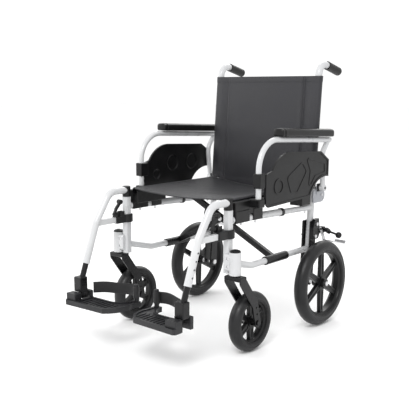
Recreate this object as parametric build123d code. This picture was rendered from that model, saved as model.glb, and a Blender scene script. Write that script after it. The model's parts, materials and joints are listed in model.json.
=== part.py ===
"""Transport wheelchair with a scissor-folding frame, built as separate pieces.

Millimetres. +X is the sitter's left, -Y is the front, +Z is up and the floor is z = 0. Every piece
is laid out with y = 0 at the rear axle, then moved so that the chair's footprint is centred on the
origin. The left side is modelled and the right side is its mirror image.
"""

from build123d import *
import math
import os

# Overall layout
FRONT_REACH = 745.0  # rear axle to the front edge of the footplates
REAR_REACH = 206.75  # rear axle to the back end of the push grips
MIDDLE_Y = (FRONT_REACH - REAR_REACH) / 2
SIDE_X = 232.0  # plane of each side frame
ARM_X = 268.0  # plane of each armrest
TUBE = 25.0  # main frame tube
SLIM_TUBE = 22.0  # lower rails and seat rails
ARM_TUBE = 19.0  # armrest tube
WALL = 2.0
FIT = 0.05  # radial running fit of pins and slides
GAP = 0.3  # clearance between pieces that only pass each other

# Wheels
REAR_X, REAR_RADIUS, REAR_WIDTH, REAR_RIM = 295.0, 155.0, 48.0, 120.0
CASTER_X, CASTER_RADIUS, CASTER_WIDTH, CASTER_RIM = 267.5, 100.0, 46.0, 72.0
STEM_Y = -475.0
TRAIL = 82.0
AXLE = 6.0

# Side frame
FRONT_Y = -467.0  # front upright, which is also the hanger's swing axis
FRONT_TOP = 476.0
LOWER_Z = 274.0  # straight part of the lower rail, the scissor's lower pivot
SEAT_RAIL_X, SEAT_RAIL_Z = 210.0, 494.0
SEAT_RAIL_FRONT, SEAT_RAIL_BACK = -448.0, -5.0
RAIL_FRONT_Z, RAIL_BACK_Z = 442.0, 425.0
RAIL_BACK_Y = 23.0
SLEEVE_END = -180.0
LEAN = math.tan(math.radians(4.95))  # the rear upright and the back cane lean back

# Scissor
CLAMP_FRONT, CLAMP_BACK = -264.0, -139.0
ARM_LEFT_Y, ARM_RIGHT_Y = -210.0, -193.0
ARM_DEEP, ARM_TALL = 15.0, 20.0
RISE = math.atan2(SEAT_RAIL_Z - LOWER_Z, SIDE_X + SEAT_RAIL_X)
CENTRE_Z = LOWER_Z + SIDE_X * math.tan(RISE)

# Folding back
HINGE_Y, HINGE_Z = 70.0, 468.0
SPLIT_Z = 496.0
CANE_X = 227.5
CANE_CORNER = (69.0, 953.5)
CANE_END = (192.0, 922.1)
GRIP_FROM, GRIP_TO = 50.6, 139.2  # along the handle from the corner of the cane

# Armrest
ARM_PIVOT_Y, ARM_PIVOT_Z = 44.0, 498.0
ARM_FRONT_Y = -355.0

# Hanger, footrest and footplate
TUBE_KNEE = (-612.0, 404.0)
TUBE_FOOT = (-663.0, 267.0)
ROD = 19.9
FLIP_X, FLIP_Z = 222.0, 166.0
BLOCK_Y = -688.0
PLATE_INNER = 36.0  # the plates clear each other as they flip up with the fold
PEG_X, PEG_Y = 47.0, -606.0  # post that holds the heel loop, behind the hanger tube when flipped up
PLATE_TOP, PLATE_BOTTOM = 155.0, 138.0
LATCH_Z = 400.0
LEVER_Z = 421.5  # release lever pivot, just above the latch

# Brake
SHOE_PIVOT = (40.0, 345.0)
LEVER_PIVOT = (70.0, 338.0)
KNOB = (300.0, 113.0, 315.0)

os.makedirs("parts", exist_ok=True)


def bar(start, end, radius):
    """Solid round bar between two points."""
    run = Vector(*end) - Vector(*start)
    plane = Plane(origin=start, z_dir=run)
    return plane * Cylinder(radius, run.length, align=(Align.CENTER, Align.CENTER, Align.MIN))


def pipe(points, outer, wall=WALL, radius=None):
    """Hollow tube along points, with its corners bent to radius."""
    path = FilletPolyline(*points, radius=radius) if radius else Line(*points)
    section = Circle(outer / 2) - Circle(outer / 2 - wall)
    return sweep(Plane(origin=path @ 0, z_dir=path % 0) * section, path=path)


def block(x, y, z, radius=0.0):
    """Box given by its low and high x, y and z, with all its edges rounded."""
    size = [high - low for low, high in (x, y, z)]
    middle = [(low + high) / 2 for low, high in (x, y, z)]
    box = Pos(*middle) * Box(*size)
    return fillet(box.edges(), radius) if radius else box


def side_plate(outline, x, thick):
    """Plate in a side plane: outline is drawn in (y, z) and starts at x."""
    return extrude(Plane.YZ.offset(x) * outline, amount=thick)


def link(start, end, width):
    """Flat outline with round ends between two (y, z) points."""
    run = Vector(*end) - Vector(*start)
    middle = (Vector(*start) + Vector(*end)) / 2
    turn = math.degrees(math.atan2(run.Y, run.X))
    return Pos(middle.X, middle.Y) * Rot(0, 0, turn) * SlotCenterToCenter(run.length, width)


def outline(points, radius):
    """Closed outline through (y, z) points with its corners rounded."""
    face = make_face(Polyline(*points, close=True))
    return fillet(face.vertices(), radius)


def spin_about_x(section, x, y, z):
    """Revolve a section drawn as (x, radius) about an axle at y, z."""
    return Pos(x, y, z) * revolve(section, axis=Axis.X)


def save(name, pieces):
    """Write one node, shifted so that the footprint is centred."""
    solids = [solid for piece in pieces for solid in piece.solids()]
    export_step(Pos(0, MIDDLE_Y, 0) * Compound(solids), f"parts/{name}.step")


def save_pair(name, *pieces):
    """Write the left node and its mirror image."""
    save(name + "_left", pieces)
    save(name + "_right", [mirror(piece, about=Plane.YZ) for piece in pieces])


def rail_z(y):
    """Height of the sloping upper rail at y."""
    share = (y - FRONT_Y) / (RAIL_BACK_Y - FRONT_Y)
    return RAIL_FRONT_Z + (RAIL_BACK_Z - RAIL_FRONT_Z) * share


def back_y(z):
    """Leaning centre line of the rear upright and the cane at z."""
    return 10.0 + (z - 272.0) * LEAN


# ------------------------------------------------------------------ side frame
def front_upright():
    foot, top = 272.0, FRONT_TOP
    outer = Rectangle(TUBE, TUBE)
    outer = fillet(outer.vertices(), 6)
    inner = Rectangle(TUBE - 2 * WALL, TUBE - 2 * WALL)
    inner = fillet(inner.vertices(), 4)
    return Pos(SIDE_X, FRONT_Y, foot) * extrude(outer - inner, amount=top - foot)


def upright_core():
    """Full section of the front upright, used to cope the rails that meet it."""
    return block(
        (SIDE_X - TUBE / 2, SIDE_X + TUBE / 2),
        (FRONT_Y - TUBE / 2, FRONT_Y + TUBE / 2),
        (260, FRONT_TOP),
    )


def rear_upright():
    low, high = 256.0, SPLIT_Z - 2
    return pipe([(SIDE_X, back_y(low), low), (SIDE_X, back_y(high), high)], TUBE)


def rear_core():
    return bar((SIDE_X, back_y(240), 240), (SIDE_X, back_y(520), 520), TUBE / 2)


def rail_point(y):
    return (SIDE_X, y, rail_z(y))


def upper_rail():
    cope = upright_core() + rear_core()
    rear = pipe([rail_point(SLEEVE_END - 20), rail_point(RAIL_BACK_Y)], 20) - cope
    sleeve = pipe([rail_point(FRONT_Y), rail_point(SLEEVE_END)], TUBE, 2.5) - cope
    return rear, sleeve


def rail_collar():
    """Dark stop ring at the end of the thick sleeve, and the screws under the rail."""
    ring = pipe([rail_point(SLEEVE_END), rail_point(SLEEVE_END + 14)], 29, 4.5)
    screws = [under_screw(y, drop) for y, drop in ((-400, 12.5), (-322, 12.5), (-18, 10))]
    return [ring, *screws]


def under_screw(y, drop):
    top = rail_z(y) - drop - 0.2
    neck = bar((SIDE_X, y, top), (SIDE_X, y, top - 9), 2.6)
    return neck + bar((SIDE_X, y, top - 3), (SIDE_X, y, top - 7), 4.2)


def lower_rail():
    path = [(SIDE_X, FRONT_Y, 306), (SIDE_X, -345, LOWER_Z), (SIDE_X, 11, LOWER_Z)]
    return pipe(path, SLIM_TUBE, WALL, 60) - upright_core() - rear_core()


def caster_housing():
    low, high = 272.0, 346.0
    body = bar((CASTER_X, STEM_Y, low), (CASTER_X, STEM_Y, high), 19.5)
    neck = block((SIDE_X, CASTER_X), (-489, -457), (282, 338))
    neck = fillet(neck.edges().filter_by(Axis.X), 9)
    bore = bar((CASTER_X, STEM_Y, low), (CASTER_X, STEM_Y, high - 6), 8 + FIT)
    recess = [bar((247.0, -489, z), (247.0, -485, z), 5) for z in (297, 323)]
    return (body + neck) - upright_core() - bore - recess


def caster_cap():
    disc = bar((CASTER_X, STEM_Y, 346), (CASTER_X, STEM_Y, 350), 18)
    dome = Pos(CASTER_X, STEM_Y, 350 - 26.5) * Sphere(32)
    dome &= bar((CASTER_X, STEM_Y, 350), (CASTER_X, STEM_Y, 358), 18)
    bolts = [bar((247.0, -487, z), (247.0, -485, z), 4.6) for z in (297, 323)]
    return [disc + dome, *bolts]


def axle_plate():
    """Two plates that carry the rear axle, one on each side of the rear upright."""
    foot = link((0, REAR_RADIUS), (8, 240), 34)
    head = outline([(-9, 230), (25, 230), (38, 377), (-2, 377)], 6)
    hole = Pos(0, REAR_RADIUS) * Circle(AXLE + FIT)
    inner = side_plate(foot + head - hole, SIDE_X - 19.5, 7)
    outer = side_plate(foot + head - hole, SIDE_X + 12.5, 5)
    return [inner - rear_core(), outer - rear_core()]


def rear_axle():
    head = 323.0
    shaft = bar((209, 0, REAR_RADIUS), (head - 5, 0, REAR_RADIUS), AXLE)
    cap = bar((head - 5.5, 0, REAR_RADIUS), (head, 0, REAR_RADIUS), 9)
    nut = Pos(205.5, 0, REAR_RADIUS) * Rot(0, 90, 0) * extrude(RegularPolygon(10, 6), 6.5)
    spacer = bar((249.5, 0, REAR_RADIUS), (267.5, 0, REAR_RADIUS), 11)
    return shaft + chamfer(cap.edges(), 1) + nut + spacer


def saddle_brackets():
    """Black brackets on the upper rail: two seat saddles, the armrest socket and its pivot."""
    front = block((195, 246), (-447, -300), (452, 498), 3)
    front += block((216, 248), (-447, -372), (429, 470), 3)
    front += block((216, 248), (-352, -300), (429, 470), 3)
    front += block((240, 284), (-371, -339.5), (474, 502), 4)
    front -= bar((ARM_X, ARM_FRONT_Y, 488), (ARM_X, ARM_FRONT_Y, 510), ARM_TUBE / 2 + 0.8)
    rear = block((195, 247), (-62, -4), (440, 492), 3)
    rear -= rear_core()
    channel = bar((SEAT_RAIL_X, -470, SEAT_RAIL_Z), (SEAT_RAIL_X, 40, SEAT_RAIL_Z), SLIM_TUBE / 2 + 0.35)
    throat = block((SEAT_RAIL_X - 11.35, SEAT_RAIL_X + 11.35), (-470, 40), (SEAT_RAIL_Z, 520))
    sleeve_core = bar(rail_point(-480), rail_point(SLEEVE_END), TUBE / 2)
    rear_rail_core = bar(rail_point(SLEEVE_END), rail_point(30), 10)
    front = front - channel - throat - sleeve_core
    rear = rear - channel - throat - rear_rail_core
    pivot = block((250.9, 258), (30, 60), (484, 514), 3)
    pivot += bar((256, ARM_PIVOT_Y, ARM_PIVOT_Z), (278.5, ARM_PIVOT_Y, ARM_PIVOT_Z), 5)
    return [front, rear, pivot]


def back_hinge_plate():
    """Pair of plates on the rear upright that hold the folding back's pivot pin."""
    face = link((36, 466), (68, 466), 48) + outline([(14, 442), (60, 442), (60, 490), (14, 490)], 5)
    face -= Pos(HINGE_Y, HINGE_Z) * Circle(5)
    face -= Pos(78, 452) * Circle(3.2)
    outer = side_plate(face, SIDE_X + 12.8, 3)
    inner = side_plate(face, SIDE_X - 15.8, 3)
    foot = block((247.6, 250.9), (32, 58), (474, 512), 1)
    foot -= block((247, 247.81), (0, 90), (400, 520))
    pin = bar((SIDE_X - 18.5, HINGE_Y, HINGE_Z), (SIDE_X + 18.5, HINGE_Y, HINGE_Z), 5)
    return [outer + foot, inner, pin]


def brake_bracket():
    """Brake casting on the outboard axle plate, with its two clamp bolts and pivot pins."""
    face = outline([(-4, 311), (30, 311), (42, 330), (34, 387), (8, 384), (-4, 352)], 5)
    face += link((28, 343), LEVER_PIVOT, 24)
    casting = side_plate(face, SIDE_X + 17.7, 12.3)
    pocket = side_plate(outline([(46, 333), (62, 331), (62, 345), (46, 350)], 3), 256, 8)
    pins = bar((258, *SHOE_PIVOT), (269, *SHOE_PIVOT), 4) + bar((258, *LEVER_PIVOT), (279, *LEVER_PIVOT), 4)
    bolts = [bar((262, y, z), (266, y, z), 6.5) for y, z in ((19, 366), (9, 322))]
    tips = [bar((202, y, z), (212.5, y, z), 3) for y, z in ((19, 366), (9, 322))]
    return [casting - pocket + pins, *bolts, *tips]


# ---------------------------------------------------------------------- wheels
def tyre(width, inner, outer, x, y):
    half, flat = width / 2, outer - 0.5 * (outer - inner)
    bead = 5
    wall = Polyline(
        (half, flat), (half, inner + bead), (half - bead, inner),
        (bead - half, inner), (-half, inner + bead), (-half, flat),
    )
    crown = ThreePointArc((-half, flat), (0, outer), (half, flat))
    ring = spin_about_x(make_face(wall + crown), x, y, outer)
    groove = Pos(x, y, outer) * Rot(0, 90, 0) * Torus(inner + 0.42 * (outer - inner), 1.6)
    return ring - Pos(half + 0.6, 0, 0) * groove - Pos(-half - 0.6, 0, 0) * groove


def rim(radius, depth, hub, hub_reach, bore, x, y, z):
    """Six-spoke wheel centre with a lipped ring; hub_reach is how far the hub stands in and out."""
    lip, floor = depth / 2, radius - 9
    ring = make_face(
        Polyline(
            (-lip, radius), (-lip, radius - 3), (3 - lip, radius - 4), (8 - lip, floor), (lip - 8, floor),
            (lip - 3, radius - 4), (lip, radius - 3), (lip, radius), close=True,
        )
    )
    wheel = revolve(ring, axis=Axis.X)
    spoke = outline([(hub - 4, -12), (floor + 3, -8.5), (floor + 3, 8.5), (hub - 4, 12)], 0.5)
    groove = outline([(hub + 8, -6), (floor - 8, -3.5), (floor - 8, 3.5), (hub + 8, 6)], 2)
    for turn in range(6):
        around = Rot(0, 0, 60 * turn + 90)
        wheel += extrude(Plane.YZ.offset(-7) * around * spoke, amount=14)
        for low in (-8, 5):
            wheel -= extrude(Plane.YZ.offset(low) * around * groove, amount=3)
    wheel += bar((-10, 0, 0), (10, 0, 0), hub + 2)
    wheel += bar((-hub_reach[0], 0, 0), (hub_reach[1], 0, 0), hub - 5)
    wheel -= bar((-60, 0, 0), (60, 0, 0), bore)
    return Pos(x, y, z) * wheel


def fork():
    """Caster fork: stem, crown and two straight legs with spare axle holes."""
    stem = bar((0, 0, 262), (0, 0, 334), 8)
    washer = bar((0, 0, 268), (0, 0, 271.7), 15)
    crown = block((-33, 33), (-17, 19), (254, 268.5), 4)
    face = link((2, 252), (66, 166), 32) + link((66, 166), (TRAIL, CASTER_RADIUS), 30)
    for y, z in ((TRAIL - 6, 131), (TRAIL - 10, 154)):
        face -= Pos(y, z) * Circle(3.4)
    legs = [side_plate(face, x, 5) for x in (-33, 28)]
    bolt = bar((-36, TRAIL, CASTER_RADIUS), (36, TRAIL, CASTER_RADIUS), 5)
    heads = [bar((x, TRAIL, CASTER_RADIUS), (x + 4, TRAIL, CASTER_RADIUS), 9) for x in (-37, 33)]
    return Pos(CASTER_X, STEM_Y, 0) * (stem + washer + crown + legs + bolt + heads)


# ----------------------------------------------------------------- scissor fold
def cross_arm(side, y):
    """One brace: foot sleeve on its own side's lower rail, seat rail on the other side.

    side is 1 for the arm whose foot is on the left."""
    foot = Vector(side * SIDE_X, y, LOWER_Z)
    top = Vector(-side * SEAT_RAIL_X, y, SEAT_RAIL_Z)
    run = top - foot
    middle = (top + foot) / 2
    tilt = math.degrees(math.atan2(run.Z, run.X))
    arm = Pos(middle) * Rot(0, -tilt, 0) * Box(run.length, ARM_DEEP, ARM_TALL)
    rib = Pos(middle) * Rot(0, -tilt, 0) * Box(run.length - 60, 2 + ARM_DEEP, 5)
    sleeve = bar((foot.X, CLAMP_FRONT, foot.Z), (foot.X, CLAMP_BACK, foot.Z), 15)
    rail = bar((top.X, SEAT_RAIL_FRONT, top.Z), (top.X, SEAT_RAIL_BACK, top.Z), SLIM_TUBE / 2)
    rail = rail - bar((top.X, -500, top.Z), (top.X, 50, top.Z), SLIM_TUBE / 2 - WALL)
    hollow = bar((top.X, -500, top.Z), (top.X, 50, top.Z), SLIM_TUBE / 2 - 0.5)
    brace = (arm + rib - hollow) + rail + sleeve
    brace -= bar((foot.X, -400, foot.Z), (foot.X, 0, foot.Z), SLIM_TUBE / 2 + FIT)
    return brace - bar((0, -300, CENTRE_Z), (0, -100, CENTRE_Z), 5 + FIT)


def cross_pin():
    front, back = ARM_LEFT_Y - ARM_DEEP / 2 - 1, ARM_RIGHT_Y + ARM_DEEP / 2 + 1
    pin = bar((0, front - 4, CENTRE_Z), (0, back + 6, CENTRE_Z), 5)
    head = bar((0, front - 6, CENTRE_Z), (0, front - GAP, CENTRE_Z), 9)
    return pin + head + bar((0, back + GAP, CENTRE_Z), (0, back + 7, CENTRE_Z), 9)


def seat_sling():
    top = SEAT_RAIL_Z + SLIM_TUBE / 2 + GAP
    sheet = block((-222, 222), (-460, -8), (top, top + 8), 2)
    corner = bar((SIDE_X, FRONT_Y, 480), (SIDE_X, FRONT_Y, 540), 17)
    return sheet - corner - mirror(corner, about=Plane.YZ)


# ------------------------------------------------------------------------ back
def back_cane():
    low = (CANE_X, back_y(SPLIT_Z + 2), SPLIT_Z + 2)
    corner = (CANE_X, *CANE_CORNER)
    return pipe([low, corner, (CANE_X, *CANE_END)], TUBE, WALL, 40)


def cane_hinge():
    """Dark plug under the cane with a lug that turns on the hinge pin."""
    low, high = SPLIT_Z, SPLIT_Z + 2
    plug = bar((CANE_X, back_y(low), low), (CANE_X, back_y(high), high), 14.5)
    plug += bar((CANE_X, back_y(high), high), (CANE_X, back_y(high + 25), high + 25), 10.4)
    face = link((HINGE_Y, HINGE_Z), (back_y(SPLIT_Z) + 26, 488), 22)
    face += outline([(24, 496), (60, 481), (72, 486), (50, 499), (24, 499)], 0.8)
    lug = side_plate(face, CANE_X - 6, 12)
    lug -= bar((SIDE_X, back_y(400), 400), (SIDE_X, back_y(SPLIT_Z - 0.5), SPLIT_Z - 0.5), 13.2)
    bore = bar((150, HINGE_Y, HINGE_Z), (300, HINGE_Y, HINGE_Z), 5 + FIT)
    cane = bar((CANE_X, back_y(high), high), (CANE_X, back_y(600), 600), TUBE / 2)
    cane -= bar((CANE_X, back_y(high), high), (CANE_X, back_y(600), 600), 10.5)
    return plug + lug - bore - cane


def grip():
    corner = Vector(CANE_X, *CANE_CORNER)
    run = (Vector(CANE_X, *CANE_END) - corner).normalized()
    start = corner + run * GRIP_FROM
    end = corner + run * GRIP_TO
    body = bar(start, end, 16)
    for step in range(7):
        middle = start + run * (14 + 10 * step)
        ring = Plane(origin=middle, z_dir=run) * Torus(16.6, 1.8)
        body -= ring
    rim_edges = body.edges().filter_by(GeomType.CIRCLE).group_by(Axis.Y)[-1]
    body = fillet(rim_edges, 5)
    return body - bar(start - run * 5, (CANE_X, *CANE_END), TUBE / 2)


def back_sling():
    low, high = 503.0, 902.0
    tilt = math.degrees(math.atan(LEAN))
    middle = (low + high) / 2
    panel = Pos(0, back_y(middle) - 14, middle) * Rot(-tilt, 0, 0) * Box(2 * CANE_X, 3, high - low)
    for x in (-CANE_X, CANE_X):
        panel += bar((x, back_y(low), low), (x, back_y(high), high), 15.5)
    for x in (-CANE_X, CANE_X):
        panel -= bar((x, back_y(low - 40), low - 40), (x, back_y(high + 40), high + 40), TUBE / 2 + GAP)
    return panel


# --------------------------------------------------------------------- armrest
def armrest_tube():
    path = [(ARM_X, ARM_FRONT_Y, 488.6), (ARM_X, ARM_FRONT_Y, 694.7), (ARM_X, 82, 672)]
    top = pipe(path, ARM_TUBE, WALL, 96)
    core = bar(path[1], path[2], ARM_TUBE / 2)
    leg_path = [(ARM_X, 72, 672.5), (ARM_X, 28, 618), (ARM_X, ARM_PIVOT_Y, ARM_PIVOT_Z + 4)]
    leg = pipe(leg_path, ARM_TUBE, WALL, 60) - core
    eye = bar((ARM_X - 9.7, ARM_PIVOT_Y, ARM_PIVOT_Z), (ARM_X + 9.7, ARM_PIVOT_Y, ARM_PIVOT_Z), 11)
    frame = top + leg + eye
    return frame - bar((240, ARM_PIVOT_Y, ARM_PIVOT_Z), (300, ARM_PIVOT_Y, ARM_PIVOT_Z), 5 + FIT)


def armrest_pad():
    face = outline([(-250, 699.4), (88, 682.6), (88, 711), (-250, 727)], 6)
    pad = side_plate(face, ARM_X - 22, 44)
    return fillet(pad.edges().filter_by(GeomType.LINE).group_by(SortBy.LENGTH)[-1], 5)


def skirt_panel():
    """Moulded side guard with a border, a round dish and a leaf-shaped relief."""
    x, thick = ARM_X + ARM_TUBE / 2 + GAP, 6.0
    front = Polyline((-300, 590), (-337, 580), (-337, 486), (-322, 471), (-70, 479))
    rear = Polyline((52, 542), (53, 603), (-1, 636), (-190, 646))
    under = ThreePointArc((-70, 479), (-20, 531), (52, 542))
    shoulder = ThreePointArc((-190, 646), (-262, 628), (-300, 590))
    face = make_face(front + under + rear + shoulder)
    panel = side_plate(face, x, thick)
    for y, z, radius in ((-262, 535, 20), (-172, 572, 32), (-60, 570, 32)):
        hollow = Cone(radius, radius - 6, 3, align=(Align.CENTER, Align.CENTER, Align.MIN))
        panel -= Pos(x - 0.01, y, z) * Rot(0, 90, 0) * hollow
    border = face - offset(face, amount=-7)
    panel += side_plate(border, x + thick - 0.5, 2.5)
    dish = Pos(-262, 535) * (Circle(27) - Circle(21))
    panel += side_plate(dish, x + thick - 0.5, 2.5)
    leaf = outline([(-215, 560), (-120, 608), (-88, 572), (-150, 500), (-190, 505)], 14)
    arrow = outline([(-98, 622), (28, 594), (32, 556), (-34, 548), (-82, 496), (-70, 572)], 10)
    panel += side_plate(leaf - offset(leaf, amount=-5), x + thick - 0.5, 2)
    panel += side_plate(arrow - offset(arrow, amount=-5), x + thick - 0.5, 2)
    clip = block((ARM_X - 13, x + thick), (ARM_FRONT_Y - 13, -330), (537, 585), 3)
    clip -= bar((ARM_X, ARM_FRONT_Y, 500), (ARM_X, ARM_FRONT_Y, 620), ARM_TUBE / 2 + FIT)
    return panel + clip


# ---------------------------------------------------------------------- hanger
def hanger_tube():
    path = [(SIDE_X, FRONT_Y, 500), (SIDE_X, -548, 500), (SIDE_X, *TUBE_KNEE), (SIDE_X, *TUBE_FOOT)]
    tube = pipe(path, TUBE, 2.5, 48)
    hook = bar((SIDE_X, FRONT_Y, 480), (SIDE_X, FRONT_Y, 520), 14.5)
    core = bar((SIDE_X, *TUBE_KNEE), (SIDE_X, *TUBE_FOOT), TUBE / 2)
    arm = block((SIDE_X - 7, SIDE_X + 7), (-612, -489), (LATCH_Z - 11, LATCH_Z + 8)) - core
    arm -= bar((SIDE_X, FRONT_Y, 300), (SIDE_X, FRONT_Y, 450), 21.5)
    tube = tube - hook + arm
    run = (Vector(SIDE_X, *TUBE_FOOT) - Vector(SIDE_X, *TUBE_KNEE)).normalized()
    for step in (27, 52, 78, 104):
        hole = Vector(SIDE_X, *TUBE_FOOT) - run * step
        tube -= bar(hole, hole + Vector(20, 0, 0), 3.8)
    return tube


def hanger_latch():
    """Top hook and lower latch, both turning on the front upright."""
    top = bar((SIDE_X, FRONT_Y, FRONT_TOP + GAP), (SIDE_X, FRONT_Y, 514), 14.5)
    top = fillet(top.edges().group_by(Axis.Z)[-1], 4)
    pin = bar((SIDE_X, FRONT_Y, 446), (SIDE_X, FRONT_Y, FRONT_TOP + 2), 8)
    ring = bar((SIDE_X, FRONT_Y, LATCH_Z - 15), (SIDE_X, FRONT_Y, LATCH_Z + 14), 21.5)
    nose = block((SIDE_X - 13, SIDE_X + 13), (-526, FRONT_Y), (LATCH_Z - 15, LATCH_Z + 14), 3)
    ring = fillet(ring.edges(), 3)
    housing = ring + nose
    housing -= bar((SIDE_X, FRONT_Y, 350), (SIDE_X, FRONT_Y, 450), 15.8)
    housing -= block((SIDE_X - 7, SIDE_X + 7), (-540, -488.5), (LATCH_Z - 11, LATCH_Z + 8))
    lugs = [block((x, x + 4), (-516, -494), (LATCH_Z + 10, LEVER_Z + 8), 1.5) for x in (214, 226.5)]
    pin_across = bar((215, -505, LEVER_Z), (230, -505, LEVER_Z), 3)
    return [top + pin, housing + lugs + pin_across]


def release_lever():
    """Curved finger lever that opens the latch."""
    face = link((-505, LEVER_Z), (-537, LEVER_Z), 12) + link((-537, LEVER_Z), (-528, LEVER_Z + 18), 9)
    face += link((-528, LEVER_Z + 18), (-509, LEVER_Z + 38), 10)
    lever = side_plate(face, 218.5, 7.5)
    tab = bar((213.5, -510, LEVER_Z + 41), (231, -510, LEVER_Z + 41), 8.5)
    tab = fillet(tab.edges(), 2.5)
    return lever + tab - bar((200, -505, LEVER_Z), (240, -505, LEVER_Z), 3 + FIT)


# -------------------------------------------------------------------- footrest
def footrest_rod():
    run = (Vector(SIDE_X, *TUBE_FOOT) - Vector(SIDE_X, *TUBE_KNEE)).normalized()
    foot = Vector(SIDE_X, *TUBE_FOOT)
    rod = bar(foot - run * 96, foot + run * 78, ROD / 2)
    rod -= bar(foot - run * 96, foot + run * 40, ROD / 2 - WALL)
    clamp = block((214, 250), (BLOCK_Y - 16, BLOCK_Y + 16), (174, 226), 4)
    tongue = block((FLIP_X - 10, FLIP_X + 10), (BLOCK_Y - 13, BLOCK_Y + 13), (FLIP_Z - 10, 180))
    bore = bar((FLIP_X, -800, FLIP_Z), (FLIP_X, -600, FLIP_Z), 4 + FIT)
    rod -= block((190, 270), (-800, -600), (100, 180))
    return rod + clamp + tongue - bore


def plate_outline():
    """Plan of the left footplate: straight front, inner lobe and hollowed back edge."""
    front, back = -FRONT_REACH, -660.0
    edge = Polyline((112, back), (250, back), (250, front + 6), (244, front), (72, front + 8))
    inner = ThreePointArc((72, front + 8), (PLATE_INNER + 5, front + 45), (PLATE_INNER, -640))
    lobe = Polyline((PLATE_INNER, -640), (PLATE_INNER, PEG_Y + 10), (PEG_X + 14, PEG_Y + 10))
    hollow = ThreePointArc((PEG_X + 14, PEG_Y + 10), (80, -644), (112, back))
    return make_face(edge + inner + lobe + hollow)


def footplate():
    plan = plate_outline()
    plate = Pos(0, 0, PLATE_BOTTOM) * extrude(plan, amount=PLATE_TOP - PLATE_BOTTOM)
    dish = offset(plan, amount=-9) & (Pos(100, -690) * Rectangle(190, 200))
    plate -= Pos(0, 0, PLATE_TOP - 3) * extrude(dish, amount=10)
    for step in range(8):
        low = 64 + 16 * step
        rib = block((low, low + 4), (-728, -676), (PLATE_TOP - 4, PLATE_TOP - 0.8))
        plate += rib
    for low, high in ((-737, BLOCK_Y - 18.5), (BLOCK_Y + 18.5, -655)):
        plate += block((206, 250), (low, high), (PLATE_BOTTOM - 2, 177), 3)
    plate -= block((204, 260), (BLOCK_Y - 18, BLOCK_Y + 18), (100, 200))
    peg = bar((PEG_X, PEG_Y, PLATE_TOP - 2), (PEG_X, PEG_Y, 214), 8)
    plate += fillet(peg.edges().group_by(Axis.Z)[-1], 3)
    return plate + bar((FLIP_X, -737, FLIP_Z), (FLIP_X, -656, FLIP_Z), 4)


def heel_loop():
    """Strap that stands behind the heel, from the inner peg to the outer hinge block."""
    low, high, thick = PLATE_TOP + 11, PLATE_TOP + 50, 2.5
    start, end = (PEG_X + 8.5, PEG_Y + 3), (209, -653.4)
    line = Spline(start, (104, -594), (160, -619), end, tangents=((0.75, 0.35), (1, -0.45)))
    band = Pos(0, 0, low) * extrude(trace(line, line_width=thick), amount=high - low)
    root = block((206, 218), (-655, -648), (150, 200), 1)
    ring = bar((PEG_X, PEG_Y, low), (PEG_X, PEG_Y, high), 10.5)
    ring -= bar((PEG_X, PEG_Y, 0), (PEG_X, PEG_Y, 300), 8 + FIT)
    return band - bar((PEG_X, PEG_Y, 0), (PEG_X, PEG_Y, 300), 9) + ring + root


# ----------------------------------------------------------------------- brake
def brake_lever():
    face = link(LEVER_PIVOT, (88, 329), 18)
    plate = side_plate(face, 271, 5)
    rod = bar((274, 86, 330), KNOB, 4)
    lever = plate + rod + Pos(*KNOB) * Sphere(12)
    return lever - bar((250, *LEVER_PIVOT), (270 + 9, *LEVER_PIVOT), 4 + FIT)


def brake_shoe():
    """Bright steel shoe that stands just over the tyre."""
    web = side_plate(link(SHOE_PIVOT, (69, 302.5), 13), 262.5, 4)
    profile = make_face(
        Polyline((60, 303), (145, 279.5), (154, 289), (156, 287.3), (145.6, 276.2), (59.2, 300), close=True)
    )
    shoe = side_plate(profile, 262.5, 46)
    return web + shoe - bar((250, *SHOE_PIVOT), (280, *SHOE_PIVOT), 4 + FIT)


def build():
    rear_rail, sleeve = upper_rail()
    save_pair("front_upright", front_upright())
    save_pair("upper_rail", rear_rail - sleeve, sleeve)
    save_pair("lower_rail", lower_rail())
    save_pair("rear_upright", rear_upright())
    save_pair("caster_housing", caster_housing())
    save_pair("axle_plate", *axle_plate())
    save_pair("rear_axle", rear_axle())
    save_pair("frame_brackets", *saddle_brackets(), *rail_collar(), *caster_cap())
    save_pair("back_hinge_plate", *back_hinge_plate())
    save_pair("brake_bracket", *brake_bracket())
    save_pair("fork", fork())
    wheel_y = STEM_Y + TRAIL
    save_pair("caster_tyre", tyre(CASTER_WIDTH, CASTER_RIM, CASTER_RADIUS, CASTER_X, wheel_y))
    caster_rim = rim(CASTER_RIM, 34, 17, (26, 26), 5 + FIT, CASTER_X, wheel_y, CASTER_RADIUS)
    save_pair("caster_rim", caster_rim)
    save_pair("rear_tyre", tyre(REAR_WIDTH, REAR_RIM, REAR_RADIUS, REAR_X, 0))
    rear_rim = rim(REAR_RIM, 36, 22, (27, 22), AXLE + FIT, REAR_X, 0, REAR_RADIUS)
    save_pair("rear_rim", rear_rim)
    save("cross_arm_left", [cross_arm(1, ARM_LEFT_Y), cross_pin()])
    save("cross_arm_right", [cross_arm(-1, ARM_RIGHT_Y)])
    save("seat_sling", [seat_sling()])
    save_pair("back_cane", back_cane(), cane_hinge())
    save_pair("grip", grip())
    save("back_sling", [back_sling()])
    save_pair("armrest_tube", armrest_tube())
    save_pair("armrest_pad", armrest_pad())
    save_pair("skirt_panel", skirt_panel())
    save_pair("hanger_tube", hanger_tube())
    save_pair("hanger_latch", *hanger_latch())
    save_pair("release_lever", release_lever())
    save_pair("footrest_rod", footrest_rod())
    save_pair("footplate", footplate())
    save_pair("heel_loop", heel_loop())
    save_pair("brake_lever", brake_lever())
    save_pair("brake_shoe", brake_shoe())


if __name__ == "__main__":
    build()
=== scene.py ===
"""Looks of the transport wheelchair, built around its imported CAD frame. Metres, +X the sitter's left, -Y the front."""

import json
import math

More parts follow.
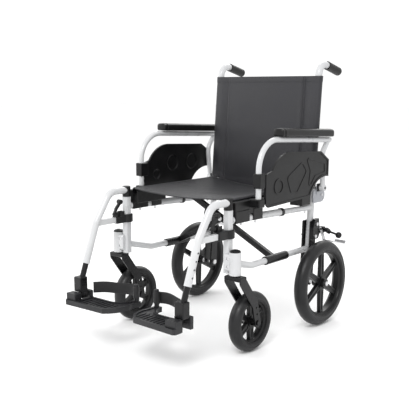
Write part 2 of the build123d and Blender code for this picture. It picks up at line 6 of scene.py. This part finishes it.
import bmesh
import bpy
from mathutils import Matrix, Vector, noise


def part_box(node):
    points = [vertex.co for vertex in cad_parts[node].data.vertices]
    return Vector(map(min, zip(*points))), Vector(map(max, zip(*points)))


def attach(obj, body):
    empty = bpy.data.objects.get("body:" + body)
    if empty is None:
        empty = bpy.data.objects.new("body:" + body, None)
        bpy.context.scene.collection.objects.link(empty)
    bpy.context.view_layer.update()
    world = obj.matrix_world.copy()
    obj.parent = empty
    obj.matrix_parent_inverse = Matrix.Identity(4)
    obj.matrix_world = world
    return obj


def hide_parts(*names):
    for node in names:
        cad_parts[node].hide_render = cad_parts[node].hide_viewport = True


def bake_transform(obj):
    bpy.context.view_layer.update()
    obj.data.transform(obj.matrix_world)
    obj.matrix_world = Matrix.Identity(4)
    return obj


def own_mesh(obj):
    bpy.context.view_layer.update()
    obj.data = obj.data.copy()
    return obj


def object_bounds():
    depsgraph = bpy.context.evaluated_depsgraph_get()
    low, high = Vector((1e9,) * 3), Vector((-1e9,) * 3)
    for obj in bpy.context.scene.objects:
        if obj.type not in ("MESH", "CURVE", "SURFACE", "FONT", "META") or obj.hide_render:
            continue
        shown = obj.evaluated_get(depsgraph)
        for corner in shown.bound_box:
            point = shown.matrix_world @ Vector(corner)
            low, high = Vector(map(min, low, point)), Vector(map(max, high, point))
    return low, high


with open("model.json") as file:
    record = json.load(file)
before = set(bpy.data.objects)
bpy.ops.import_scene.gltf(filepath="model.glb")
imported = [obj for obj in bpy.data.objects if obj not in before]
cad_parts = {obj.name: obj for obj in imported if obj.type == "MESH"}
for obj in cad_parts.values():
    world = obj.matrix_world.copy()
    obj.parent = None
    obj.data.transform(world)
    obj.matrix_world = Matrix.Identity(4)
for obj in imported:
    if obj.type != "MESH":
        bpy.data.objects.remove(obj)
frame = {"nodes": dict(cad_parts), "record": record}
cad_box = [list(corner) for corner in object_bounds()]
FRONT, BACK = cad_box[0][1], cad_box[1][1]


# ------------------------------------------------------------------ materials
def graph(name):
    """New material with its node tree, shader and object coordinates."""
    made = bpy.data.materials.new(name)
    made.use_nodes = True
    nodes, links = made.node_tree.nodes, made.node_tree.links
    shader = nodes["Principled BSDF"]
    where = nodes.new("ShaderNodeTexCoord").outputs["Object"]
    return made, nodes, links, shader, where


def noise_node(nodes, links, where, scale, detail=3.0, stretch=None):
    """Noise value at object coordinates, stretched along an axis for a brushed or streaked look."""
    if stretch:
        mapping = nodes.new("ShaderNodeMapping")
        mapping.inputs["Scale"].default_value = stretch
        links.new(where, mapping.inputs["Vector"])
        where = mapping.outputs["Vector"]
    made = nodes.new("ShaderNodeTexNoise")
    made.inputs["Scale"].default_value = scale
    made.inputs["Detail"].default_value = detail
    links.new(where, made.inputs["Vector"])
    return made.outputs["Fac"]


def ramp(nodes, links, value, low, high, colors):
    """Two-colour ramp between two values."""
    made = nodes.new("ShaderNodeValToRGB")
    made.color_ramp.elements[0].position = low
    made.color_ramp.elements[1].position = high
    for element, color in zip(made.color_ramp.elements, colors):
        element.color = (*color, 1)
    links.new(value, made.inputs["Fac"])
    return made.outputs["Color"]


def spread(nodes, links, value, low, high):
    """Value mapped onto a range."""
    made = nodes.new("ShaderNodeMapRange")
    made.inputs["From Min"].default_value = 0.3
    made.inputs["From Max"].default_value = 0.7
    made.inputs["To Min"].default_value = low
    made.inputs["To Max"].default_value = high
    links.new(value, made.inputs["Value"])
    return made.outputs["Result"]


def bump(nodes, links, height, strength, distance, under=None):
    made = nodes.new("ShaderNodeBump")
    made.inputs["Strength"].default_value = strength
    made.inputs["Distance"].default_value = distance
    links.new(height, made.inputs["Height"])
    if under:
        links.new(under, made.inputs["Normal"])
    return made.outputs["Normal"]


def moulded(name, dark, light, rough, grain, depth, patch=14.0, coat=0.0, metal=0.0, specular=0.5):
    """Painted, moulded or rubber surface: soft colour patches, rough patches and a fine grain."""
    made, nodes, links, shader, where = graph(name)
    clouds = noise_node(nodes, links, where, patch)
    links.new(ramp(nodes, links, clouds, 0.35, 0.65, (dark, light)), shader.inputs["Base Color"])
    smears = noise_node(nodes, links, where, patch * 4, 5)
    links.new(spread(nodes, links, smears, *rough), shader.inputs["Roughness"])
    fine = noise_node(nodes, links, where, grain, 2)
    links.new(bump(nodes, links, fine, 0.35, depth), shader.inputs["Normal"])
    shader.inputs["Metallic"].default_value = metal
    shader.inputs["Coat Weight"].default_value = coat
    shader.inputs["Coat Roughness"].default_value = 0.12
    shader.inputs["Specular IOR Level"].default_value = specular
    return made


def steel():
    """Zinc-plated steel with drawn streaks."""
    made, nodes, links, shader, where = graph("zinc_steel")
    streaks = noise_node(nodes, links, where, 90, 4, (1, 14, 1))
    links.new(ramp(nodes, links, streaks, 0.3, 0.7, ((0.50, 0.50, 0.51), (0.74, 0.74, 0.75))), shader.inputs["Base Color"])
    links.new(spread(nodes, links, streaks, 0.22, 0.42), shader.inputs["Roughness"])
    links.new(bump(nodes, links, streaks, 0.2, 0.0002), shader.inputs["Normal"])
    shader.inputs["Metallic"].default_value = 1.0
    return made


def woven(name, axes, dark, light, pitch, rough, sheen=0.1):
    """Coated cloth with threads crossing along two axes at the given pitch, and soft cloudy wear."""
    made, nodes, links, shader, where = graph(name)
    waves = []
    for axis in axes:
        wave = nodes.new("ShaderNodeTexWave")
        wave.bands_direction = axis
        wave.inputs["Scale"].default_value = 0.314 / pitch
        wave.inputs["Distortion"].default_value = 0.6
        wave.inputs["Detail Scale"].default_value = 2.0
        links.new(where, wave.inputs["Vector"])
        waves.append(wave.outputs["Fac"])
    crossed = nodes.new("ShaderNodeMath")
    crossed.operation = "MULTIPLY"
    links.new(waves[0], crossed.inputs[0])
    links.new(waves[1], crossed.inputs[1])
    clouds = noise_node(nodes, links, where, 9, 4)
    base = ramp(nodes, links, clouds, 0.3, 0.7, (dark, light))
    shade = nodes.new("ShaderNodeMix")
    shade.data_type = "RGBA"
    shade.blend_type = "MULTIPLY"
    shade.inputs["Factor"].default_value = 0.35
    links.new(base, shade.inputs["A"])
    links.new(ramp(nodes, links, crossed.outputs[0], 0.1, 0.7, ((0.55,) * 3, (1, 1, 1))), shade.inputs["B"])
    links.new(shade.outputs["Result"], shader.inputs["Base Color"])
    links.new(spread(nodes, links, clouds, *rough), shader.inputs["Roughness"])
    soft = bump(nodes, links, noise_node(nodes, links, where, 30, 4), 0.25, 0.001)
    links.new(bump(nodes, links, crossed.outputs[0], 0.5, 0.0003, soft), shader.inputs["Normal"])
    shader.inputs["Sheen Weight"].default_value = sheen
    shader.inputs["Sheen Roughness"].default_value = 0.4
    return made


MATERIALS = {
    "white_tube": moulded(
        "white_powder_coat", (0.50, 0.505, 0.515), (0.55, 0.555, 0.56), (0.24, 0.36), 900, 0.00015, 6, coat=0.3
    ),
    "grey_plate": moulded(
        "grey_paint", (0.27, 0.28, 0.305), (0.33, 0.34, 0.365), (0.3, 0.42), 900, 0.00015, 10, coat=0.2
    ),
    "black_metal": moulded(
        "black_coat", (0.003, 0.003, 0.0034), (0.006, 0.006, 0.007), (0.24, 0.38), 700, 0.0002, 20, specular=0.3
    ),
    "black_plastic": moulded(
        "black_plastic", (0.003, 0.003, 0.0032), (0.006, 0.006, 0.0065), (0.28, 0.42), 520, 0.0003, 18, specular=0.3
    ),
    "grey_plastic": moulded(
        "footplate_plastic", (0.010, 0.010, 0.0115), (0.018, 0.018, 0.020), (0.34, 0.48), 480, 0.0004, 16, specular=0.35
    ),
    "tyre": moulded(
        "tyre_rubber", (0.005, 0.005, 0.0055), (0.011, 0.011, 0.012), (0.32, 0.48), 380, 0.0004, 22, specular=0.35
    ),
    "grip_rubber": moulded(
        "grip_rubber", (0.004, 0.004, 0.004), (0.008, 0.008, 0.008), (0.4, 0.56), 600, 0.0004, 30, specular=0.3
    ),
    "arm_foam": moulded(
        "arm_foam", (0.003, 0.003, 0.003), (0.007, 0.007, 0.007), (0.32, 0.44), 650, 0.0005, 25, specular=0.3
    ),
    "steel": steel(),
    "upholstery": woven("back_nylon", "XZ", (0.012, 0.012, 0.0155), (0.020, 0.020, 0.0250), 0.0011, (0.42, 0.58)),
    "webbing": woven("black_webbing", "XZ", (0.005, 0.005, 0.0055), (0.011, 0.011, 0.012), 0.0022, (0.5, 0.65)),
}
SEAT_CLOTH = woven("seat_nylon", "XY", (0.008, 0.008, 0.0105), (0.015, 0.015, 0.019), 0.0011, (0.40, 0.55))
THREAD = moulded("charcoal_thread", (0.022, 0.022, 0.026), (0.040, 0.040, 0.046), (0.6, 0.7), 900, 0.0002, 60)

for part in frame["record"]["subparts"]:
    node = frame["nodes"][part["node"]]
    node.data.materials.clear()
    node.data.materials.append(MATERIALS[part["material_slot"]])


def touched_faces(mesh):
    """Number of the loose solid that each face belongs to, found by walking shared vertices."""
    owner = list(range(len(mesh.vertices)))

    def root(k):
        while owner[k] != k:
            owner[k] = owner[owner[k]]
            k = owner[k]
        return k

    for edge in mesh.edges:
        a, b = root(edge.vertices[0]), root(edge.vertices[1])
        owner[a] = b
    spots = {}
    for vertex in mesh.vertices:
        spots.setdefault(tuple(round(c, 6) for c in vertex.co), []).append(vertex.index)
    for same in spots.values():
        for k in same[1:]:
            owner[root(k)] = root(same[0])
    return [root(face.vertices[0]) for face in mesh.polygons]


def finish_solids(node_name, slot_name, chosen):
    """Give the solids of a node whose box centre passes the test a second finish."""
    mesh = frame["nodes"][node_name].data
    mesh.materials.append(MATERIALS[slot_name])
    solids = touched_faces(mesh)
    groups = {}
    for face, solid in zip(mesh.polygons, solids):
        groups.setdefault(solid, []).append(face)
    for faces in groups.values():
        points = [mesh.vertices[k].co for face in faces for k in face.vertices]
        low = Vector([min(p[axis] for p in points) for axis in range(3)])
        high = Vector([max(p[axis] for p in points) for axis in range(3)])
        if chosen((low + high) / 2, high - low):
            for face in faces:
                face.material_index = 1


for side in ("left", "right"):
    finish_solids(f"back_cane_{side}", "black_plastic", lambda middle, size: middle.z < 0.55)
    finish_solids(f"brake_bracket_{side}", "steel", lambda middle, size: max(size) < 0.014)
    finish_solids(f"frame_brackets_{side}", "steel", lambda middle, size: max(size) < 0.0095)
    finish_solids(f"back_hinge_plate_{side}", "steel", lambda middle, size: max(size.y, size.z) < 0.011)
finish_solids("cross_arm_left", "steel", lambda middle, size: max(size.x, size.z) < 0.03)


# ---------------------------------------------------------------- mesh helpers
def new_piece(name, mesh, *materials):
    """Object with smooth faces from a bmesh."""
    data = bpy.data.meshes.new(name)
    mesh.to_mesh(data)
    mesh.free()
    for material in materials:
        data.materials.append(material)
    data.polygons.foreach_set("use_smooth", [True] * len(data.polygons))
    made = bpy.data.objects.new(name, data)
    bpy.context.collection.objects.link(made)
    return made


def apply_all(piece):
    """Turn the piece's modifiers into its mesh."""
    bpy.context.view_layer.update()
    evaluated = piece.evaluated_get(bpy.context.evaluated_depsgraph_get())
    data = bpy.data.meshes.new_from_object(evaluated)
    piece.modifiers.clear()
    piece.data = data
    return piece


def sheet_mesh(outer, inner, columns, rows):
    """Closed thin shell from two surfaces given as functions of (u, v) in 0..1."""
    mesh = bmesh.new()
    layers = []
    for surface in (outer, inner):
        layers.append([[mesh.verts.new(surface(i / columns, j / rows)) for j in range(rows + 1)] for i in range(columns + 1)])
    top, under = layers
    for i in range(columns):
        for j in range(rows):
            mesh.faces.new((top[i][j], top[i + 1][j], top[i + 1][j + 1], top[i][j + 1]))
            mesh.faces.new((under[i][j], under[i][j + 1], under[i + 1][j + 1], under[i + 1][j]))
    ring = [(i, 0) for i in range(columns)] + [(columns, j) for j in range(rows)]
    ring += [(i, rows) for i in range(columns, 0, -1)] + [(0, j) for j in range(rows, 0, -1)]
    for (a, b), (c, d) in zip(ring, ring[1:] + ring[:1]):
        mesh.faces.new((top[c][d], top[a][b], under[a][b], under[c][d]))
    bmesh.ops.recalc_face_normals(mesh, faces=mesh.faces)
    return mesh


def add_stitches(mesh, length, where, up, pitch=0.0042):
    """Row of thread stitches along where(0..1), each a small capsule lying on the cloth."""
    count = int(length / pitch)
    up = Vector(up)
    for k in range(count):
        middle = where((k + 0.5) / count)
        along = (where((k + 0.9) / count) - where((k + 0.1) / count)).normalized()
        side = along.cross(up).normalized()
        turn = Matrix((along, side, side.cross(along))).transposed().to_4x4()
        made = bmesh.ops.create_icosphere(mesh, subdivisions=1, radius=1)
        size = Matrix.Diagonal((pitch * 0.36, 0.00045, 0.0004, 1))
        bmesh.ops.transform(mesh, matrix=Matrix.Translation(middle) @ turn @ size, verts=made["verts"])


# ------------------------------------------------------------------- seat sling
def smooth(t):
    t = min(max(t, 0.0), 1.0)
    return t * t * (3 - 2 * t)


SEAT_LOW, SEAT_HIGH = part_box("seat_sling")
RAIL_Z = 0.494
RAIL_X = 0.210
RAIL_R = 0.011


def seat_section(u, lift, y):
    """Cloth across the seat: up over one rail, a shallow sag between the rails, down over the other."""
    side = -1 if u < 0.5 else 1
    t = abs(2 * u - 1)
    radius = RAIL_R + 0.0006 + lift
    wrap = 0.10
    if t > 1 - wrap:
        angle = math.radians(90 - 62 * (t - 1 + wrap) / wrap)
        return side * (RAIL_X + radius * math.cos(angle)), RAIL_Z + radius * math.sin(angle)
    x = side * RAIL_X * t / (1 - wrap)
    depth = (y - SEAT_LOW.y) / (SEAT_HIGH.y - SEAT_LOW.y)
    sag = (1 - (x / RAIL_X) ** 2) * (0.011 + 0.013 * smooth(depth * 1.4))
    ripple = 0.0007 * noise.noise(Vector((x * 9, y * 9, 0.3))) * (1 - abs(x / RAIL_X) ** 4)
    return x, RAIL_Z + radius - sag + ripple


def seat_edge(v):
    """Place along the seat's depth; the cloth stops behind the hanger hooks at the corners."""
    return SEAT_LOW.y + 0.001 + v * (SEAT_HIGH.y - SEAT_LOW.y - 0.001)


def hem_lift(distance, width=0.020, height=0.0011):
    """Extra thickness of a folded hem, with the dip of its seam beside it."""
    fold = height * (1 - smooth((distance - width) / 0.0035))
    dip = -0.0005 * math.exp(-(((distance - width) / 0.0022) ** 2))
    return fold + dip


def seat_point(u, v, lift):
    y = seat_edge(v)
    from_front, from_back = y - SEAT_LOW.y, SEAT_HIGH.y - y
    extra = hem_lift(from_front) + hem_lift(from_back)
    x, z = seat_section(u, lift + (extra if lift > 0.001 else 0), y)
    corner = smooth((abs(x) - 0.196) / 0.012) * (1 - smooth(from_front / 0.02))
    tail = 0.018 * (1 - smooth((abs(x) - 0.170) / 0.022)) * (1 - smooth(from_back / 0.05))
    return Vector((x, y + 0.013 * corner + tail, z))


def build_seat():
    cloth = sheet_mesh(lambda u, v: seat_point(u, v, 0.0026), lambda u, v: seat_point(u, v, 0.0), 110, 120)
    seat = new_piece("seat_cloth", cloth, SEAT_CLOTH)
    threads = bmesh.new()
    depth = SEAT_HIGH.y - SEAT_LOW.y
    for inset in (0.0180, depth - 0.0180):
        add_stitches(threads, 0.43, lambda t, inset=inset: seat_point(0.03 + 0.94 * t, inset / depth, 0.0028), (0, 0, 1))
    for u in (0.075, 0.925):
        add_stitches(threads, depth, lambda t, u=u: seat_point(u, 0.01 + 0.98 * t, 0.0028), (0, 0, 1))
    stitches = new_piece("seat_stitches", threads, THREAD)
    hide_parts("seat_sling")
    for piece in (seat, stitches):
        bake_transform(piece)


build_seat()


# ------------------------------------------------------------------- back sling
BACK_LOW, BACK_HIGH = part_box("back_sling")
CANE_X = 0.2275
LEAN = math.tan(math.radians(4.95))
AXLE_LOW, AXLE_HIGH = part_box("rear_axle_left")
AXLE_Y = (AXLE_LOW.y + AXLE_HIGH.y) / 2
SLEEVE_R = 0.0128
SEAM_X = 0.184


def cane_y(z):
    """Leaning centre line of the canes."""
    return AXLE_Y + 0.010 + (z - 0.272) * LEAN


def back_section(t, lift):
    """Half plan of the back cloth at a share t of its length, measured from the cane's centre line.

    It runs flat across the front, round the cane, and returns behind to the seam that closes the sleeve."""
    radius = SLEEVE_R + lift
    turn = math.radians(190)
    end = Vector((CANE_X + radius * math.cos(turn - math.pi / 2), radius * math.sin(turn - math.pi / 2)))
    seam = Vector((SEAM_X, -SLEEVE_R + 0.003 + lift))
    flat, around, back = CANE_X, SLEEVE_R * turn, (seam - end).length
    run = t * (flat + around + back)
    if run <= flat:
        return Vector((run, -radius))
    if run <= flat + around:
        angle = (run - flat) / SLEEVE_R - math.pi / 2
        return Vector((CANE_X + radius * math.cos(angle), radius * math.sin(angle)))
    return end.lerp(seam, (run - flat - around) / back)


def back_share(x):
    """Share of the half section at which the front of the cloth reaches x."""
    end = Vector((CANE_X + SLEEVE_R * math.cos(math.radians(100)), SLEEVE_R * math.sin(math.radians(100))))
    total = CANE_X + SLEEVE_R * math.radians(190) + (Vector((SEAM_X, 0.003 - SLEEVE_R)) - end).length
    return x / total


def back_point(u, v, lift):
    """Point on the back cloth; u crosses it from the right seam to the left, v climbs it."""
    z = BACK_LOW.z + 0.001 + v * (BACK_HIGH.z - BACK_LOW.z - 0.002)
    side = -1 if u < 0.5 else 1
    outside = lift > 0.001
    hems = hem_lift(BACK_HIGH.z - z, 0.022) + hem_lift(z - BACK_LOW.z, 0.022) if outside else 0
    t = abs(2 * u - 1)
    x, y = back_section(t, lift + hems)
    in_front = t < back_share(CANE_X)
    shift = 0.0
    if in_front:
        span = 1 - smooth((x - 0.150) / 0.060)
        shift += 0.006 * span * math.sin(math.pi * v) * (1 - 0.3 * v)
        shift += 0.0008 * noise.noise(Vector((side * x * 7, z * 5, 1.7))) * span
        shift -= 0.0040 * (1 - smooth((x - 0.1715) / 0.0045))
        shift += 0.0036 * smooth((x - 0.1700) / 0.0050) * (1 - smooth((x - 0.1760) / 0.0380))
        flap = 0.020 * (1 - smooth((x - 0.176) / 0.020)) * (1 - smooth((z - BACK_LOW.z) / 0.08))
        return Vector((side * x, cane_y(z) + y + shift, z - flap))
    return Vector((side * x, cane_y(z) + y + shift, z))


def build_back():
    cloth = sheet_mesh(lambda u, v: back_point(u, v, 0.0024), lambda u, v: back_point(u, v, 0.0), 280, 100)
    back = new_piece("back_cloth", cloth, MATERIALS["upholstery"])
    threads = bmesh.new()
    for x in (-0.181, 0.181, -0.168, 0.168):
        u = 0.5 + math.copysign(back_share(abs(x)) / 2, x)
        add_stitches(threads, BACK_HIGH.z - BACK_LOW.z, lambda t, u=u: back_point(u, 0.01 + 0.98 * t, 0.0026), (0, -1, 0))
    reach = back_share(CANE_X) / 2
    for v in (0.051, 0.949):
        add_stitches(threads, 0.44, lambda t, v=v: back_point(0.5 + reach * (2 * t - 1), v, 0.0026), (0, -1, 0))
    stitches = new_piece("back_stitches", threads, THREAD)
    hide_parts("back_sling")
    for piece in (back, stitches):
        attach(piece, "folding_back_left")
        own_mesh(piece)


build_back()


# ----------------------------------------------------------------- armrest pads
def rounded(distance, radius, power=2.4):
    """Share of the full width at a distance from a rounded end."""
    if distance >= radius:
        return 1.0
    return max(1 - (1 - distance / radius) ** power, 0.0) ** (1 / power)


def loft(rings):
    """Closed form through rings of points, with its two ends filled."""
    mesh = bmesh.new()
    made = [[mesh.verts.new(point) for point in ring] for ring in rings]
    count = len(made[0])
    for a, b in zip(made, made[1:]):
        for k in range(count):
            mesh.faces.new((a[k], a[(k + 1) % count], b[(k + 1) % count], b[k]))
    mesh.faces.new(made[0][::-1])
    mesh.faces.new(made[-1])
    bmesh.ops.recalc_face_normals(mesh, faces=mesh.faces)
    return mesh


def pad_ring(middle, half_wide, half_tall, y, tilt):
    """Cross-section of the pad: flat underside, crowned top and full sides."""
    ring = []
    for k in range(48):
        angle = 2 * math.pi * k / 48
        c, s = math.cos(angle), math.sin(angle)
        power = 2 / 3.4 if s > 0 else 2 / 6
        x = half_wide * math.copysign(abs(c) ** power, c)
        z = half_tall * math.copysign(abs(s) ** power, s)
        z += 0.0016 * (1 - (x / half_wide) ** 2) if s > 0 else 0
        ring.append(Vector((middle.x + x, y, middle.z + z + (y - middle.y) * tilt)))
    return ring


def pad_body(low, high, start, end, ends, shrink=1.0):
    """Pad between two places along its length; ends are the radii of its front and back ends."""
    middle = (low + high) / 2
    half_wide = (high.x - low.x) / 2 * shrink
    tilt = -0.049
    rings = []
    steps = 70
    for k in range(steps + 1):
        share = k / steps
        eased = share - math.sin(2 * math.pi * share) / (2 * math.pi) * 0.9
        y = start + (end - start) * eased
        size = min(rounded(y - start + 1e-5, ends[0]), rounded(end - y + 1e-5, ends[1]))
        half_tall = 0.0135 * shrink * (0.35 + 0.65 * size)
        rings.append(pad_ring(middle, half_wide * (0.2 + 0.8 * size), half_tall, y, tilt))
    return loft(rings)


def build_pad(side):
    low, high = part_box(f"armrest_pad_{side}")
    cap_end = low.y + 0.017
    pad = new_piece(
        f"armrest_foam_{side}",
        pad_body(low, high, cap_end + 0.0008, high.y, (0.004, 0.016)),
        MATERIALS["arm_foam"],
    )
    cap = new_piece(
        f"armrest_end_cap_{side}",
        pad_body(low, high, low.y, cap_end, (0.007, 0.002), 0.94),
        MATERIALS["black_plastic"],
    )
    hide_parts(f"armrest_pad_{side}")
    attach(pad, f"armrest_{side}")
    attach(cap, f"armrest_{side}")


# ------------------------------------------------------------------- heel loops
def strap_line(points, share):
    """Point on a smooth line through given plan points."""
    spans = len(points) - 3
    k = min(int(share * spans), spans - 1)
    t = share * spans - k
    a, b, c, d = (Vector(point) for point in points[k:k + 4])
    return 0.5 * (2 * b + (c - a) * t + (2 * a - 5 * b + 4 * c - d) * t**2 + (3 * b - a - 3 * c + d) * t**3)


STRAP_HIGH = 0.039
STRAP_THICK = 0.0022
PEG = Vector((0.047, -0.606))
PEG_R = 0.0082 + STRAP_THICK / 2


def strap_route():
    """Plan of the strap: round the peg, sewn back on itself, across behind the heel to the hinge block."""
    tangent = math.radians(118)
    loop = []
    for k in range(33):
        angle = tangent - 2 * math.pi * k / 32 * 0.92 - math.radians(29)
        loop.append(PEG + PEG_R * Vector((math.cos(angle), math.sin(angle))))
    loop.reverse()
    across = [(0.047, -0.597), (0.0555, -0.5965), (0.104, -0.594), (0.160, -0.619), (0.209, -0.6518), (0.226, -0.664)]
    return loop + [strap_line(across, k / 60) for k in range(1, 61)]


def build_heel_loop(side):
    mirror = 1 if side == "left" else -1
    low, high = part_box(f"heel_loop_{side}")
    foot = 0.166
    route = strap_route()
    rings = []
    for k, point in enumerate(route):
        ahead = route[min(k + 1, len(route) - 1)]
        behind = route[max(k - 1, 0)]
        run = (ahead - behind).normalized()
        across = Vector((-run.y, run.x))
        share = k / (len(route) - 1)
        sway = 0.0012 * math.sin(share * 17)
        ring = []
        for step in range(24):
            angle = 2 * math.pi * step / 24
            c, s = math.cos(angle), math.sin(angle)
            offset = STRAP_THICK / 2 * math.copysign(abs(c) ** 0.5, c)
            height = STRAP_HIGH / 2 * math.copysign(abs(s) ** 0.16, s)
            spot = point + across * offset
            ring.append(Vector((mirror * spot.x, spot.y + AXLE_Y, foot + STRAP_HIGH / 2 + height + sway)))
        rings.append(ring)
    strap = new_piece(f"heel_strap_{side}", loft(rings), MATERIALS["webbing"])
    threads = bmesh.new()
    for height in (0.006, 0.033):
        add_stitches(
            threads,
            0.15,
            lambda t, height=height: Vector(
                (mirror * strap_line_x(route, t), strap_line_y(route, t) + AXLE_Y - 0.0013, foot + height)
            ),
            (0, -1, 0),
        )
    stitches = new_piece(f"heel_stitches_{side}", threads, THREAD)
    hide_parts(f"heel_loop_{side}")
    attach(strap, f"footplate_flap_{side}")
    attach(stitches, f"footplate_flap_{side}")


def strap_line_x(route, share):
    across = route[33:]
    return across[int(share * (len(across) - 1))].x


def strap_line_y(route, share):
    across = route[33:]
    return across[int(share * (len(across) - 1))].y


for side in ("left", "right"):
    build_pad(side)
    build_heel_loop(side)


# ------------------------------------------------------------------------ stage
def build_stage():
    """Plain pale floor and soft studio light."""
    mesh = bmesh.new()
    bmesh.ops.create_grid(mesh, x_segments=1, y_segments=1, size=30)
    floor = new_piece("studio_floor", mesh, moulded("floor_paper", (0.93, 0.93, 0.93), (0.94, 0.94, 0.94), (0.8, 0.9), 200, 0.0001, 0.5))
    world = bpy.data.worlds.new("studio")
    bpy.context.scene.world = world
    world.use_nodes = True
    world.node_tree.nodes["Background"].inputs["Color"].default_value = (1, 1, 1, 1)
    world.node_tree.nodes["Background"].inputs["Strength"].default_value = 1.08
    bpy.context.scene.view_settings.view_transform = "Standard"
    for name, place, size, power in (
        ("key", (1.2, -2.4, 2.9), 1.2, 60),
        ("fill", (-2.6, -1.4, 1.6), 1.8, 20),
        ("rim", (-0.9, 2.2, 2.4), 1.8, 30),
    ):
        light = bpy.data.lights.new(name, "AREA")
        light.size = size
        light.energy = power
        lamp = bpy.data.objects.new(name, light)
        lamp.location = place
        lamp.rotation_mode = "QUATERNION"
        lamp.rotation_quaternion = (Vector((0, 0, 0.45)) - Vector(place)).to_track_quat("-Z", "Y")
        bpy.context.collection.objects.link(lamp)


def build_camera():
    azimuth, elevation = math.radians(40.2248), math.radians(9.0197)
    back = Vector((math.sin(azimuth) * math.cos(elevation), -math.cos(azimuth) * math.cos(elevation), math.sin(elevation)))
    lens = bpy.data.cameras.new("photo_view")
    lens.lens = 64.647
    camera = bpy.data.objects.new("photo_view", lens)
    camera.location = (1.659, -2.2709 + AXLE_Y, 0.8592)
    camera.rotation_mode = "QUATERNION"
    camera.rotation_quaternion = (-back).to_track_quat("-Z", "Y")
    bpy.context.collection.objects.link(camera)
    bpy.context.scene.camera = camera


build_stage()
build_camera()
